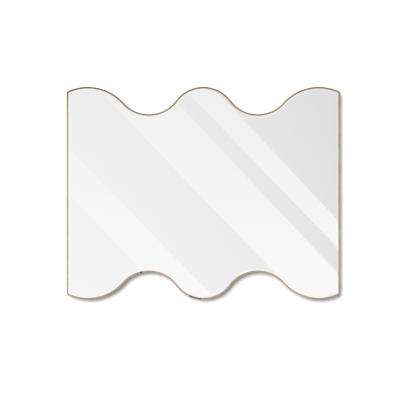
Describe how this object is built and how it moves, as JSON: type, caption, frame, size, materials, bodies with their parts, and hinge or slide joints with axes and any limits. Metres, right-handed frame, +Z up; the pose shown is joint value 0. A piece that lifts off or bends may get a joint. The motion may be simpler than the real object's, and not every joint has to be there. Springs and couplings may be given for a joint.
{
  "type": "wall mirror",
  "caption": "Framed wall mirror with straight sides and wavy top and bottom edges, thin satin brass-gold frame, backing board and D-ring hangers for hanging it wide or tall.",
  "frame": {"origin": "centre of the outline on the wall plane, the plane of the bumpers' ends", "axes": "+X along the width, +Z up, +Y into the wall; the mirror faces -Y"},
  "size_m": [0.9, 0.025, 0.7],
  "materials": {
    "frame_metal": "satin brass-gold",
    "plated_steel": "zinc plated, semi-bright",
    "ring_wire": "zinc plated drawn wire",
    "spring_steel": "blued spring steel",
    "mirror": "silvered float glass",
    "film": "matt film",
    "soft_black": "matt soft strip",
    "foam": "white foam tape",
    "board": "raw medium-density fibreboard",
    "bumper": "matt rubber"
  },
  "bodies": {
    "mirror": {"frame_rail_top": "frame_metal", "frame_rail_bottom": "frame_metal", "frame_rail_left": "frame_metal", "frame_rail_right": "frame_metal", "corner_plate_top_left": "plated_steel", "corner_plate_top_right": "plated_steel", "corner_plate_bottom_left": "plated_steel", "corner_plate_bottom_right": "plated_steel", "corner_screws": "plated_steel", "mirror_glass": "mirror", "safety_film": "film", "glazing_tape": "soft_black", "edge_spacers": "soft_black", "foam_strips": "foam", "backing_board": "board", "spring_clips": "spring_steel", "hanger_strap_top_left": "plated_steel", "hanger_strap_top_right": "plated_steel", "hanger_strap_side_upper": "plated_steel", "hanger_strap_side_lower": "plated_steel", "hanger_screws": "plated_steel", "wall_bumpers": "bumper"},
    "ring_top_left": {"hanger_ring_top_left": "ring_wire"},
    "ring_top_right": {"hanger_ring_top_right": "ring_wire"},
    "ring_side_upper": {"hanger_ring_side_upper": "ring_wire"},
    "ring_side_lower": {"hanger_ring_side_lower": "ring_wire"}
  },
  "joints": [
    {"name": "ring_top_left_hinge", "type": "hinge", "parent": "mirror", "child": "ring_top_left", "pos_m": [-0.315, -0.0059, 0.215], "axis": [1, 0, 0], "range_deg": [0, 178]},
    {"name": "ring_top_right_hinge", "type": "hinge", "parent": "mirror", "child": "ring_top_right", "pos_m": [0.315, -0.0059, 0.215], "axis": [1, 0, 0], "range_deg": [0, 178]},
    {"name": "ring_side_upper_hinge", "type": "hinge", "parent": "mirror", "child": "ring_side_upper", "pos_m": [-0.398, -0.0059, 0.13], "axis": [0, 0, 1], "range_deg": [0, 178]},
    {"name": "ring_side_lower_hinge", "type": "hinge", "parent": "mirror", "child": "ring_side_lower", "pos_m": [-0.398, -0.0059, -0.13], "axis": [0, 0, 1], "range_deg": [0, 178]}
  ]
}
